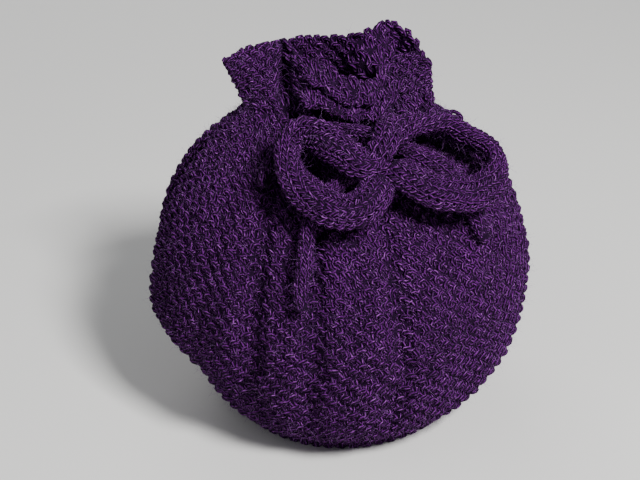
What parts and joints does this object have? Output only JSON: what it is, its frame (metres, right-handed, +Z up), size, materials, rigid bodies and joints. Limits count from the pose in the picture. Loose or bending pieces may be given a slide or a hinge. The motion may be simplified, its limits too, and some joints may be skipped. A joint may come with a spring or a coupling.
{
  "type": "tea cosy",
  "caption": "Hand-knitted tea cosy, open at the hem and at both sides for spout and handle, with a ruffled frill drawn in by a knitted tie in a bow.",
  "frame": {"origin": "middle of the hem, on the surface that the cosy stands on", "axes": "+Z up, -Y to the front with the bow, -X to the spout side, +X to the handle side"},
  "size_m": [0.1656, 0.1662, 0.1657],
  "materials": {
    "purple_knit": "fuzzy moss-stitch knit in deep purple wool",
    "purple_cord": "knitted cord in the same deep purple wool"
  },
  "bodies": {
    "root": {"front_half": "purple_knit", "back_half": "purple_knit", "tie_lead": "purple_cord", "tie_loop_spout_side": "purple_cord", "tie_end_spout_side": "purple_cord", "tie_loop_handle_side": "purple_cord", "tie_end_handle_side": "purple_cord", "tie_knot": "purple_cord"}
  },
  "joints": []
}
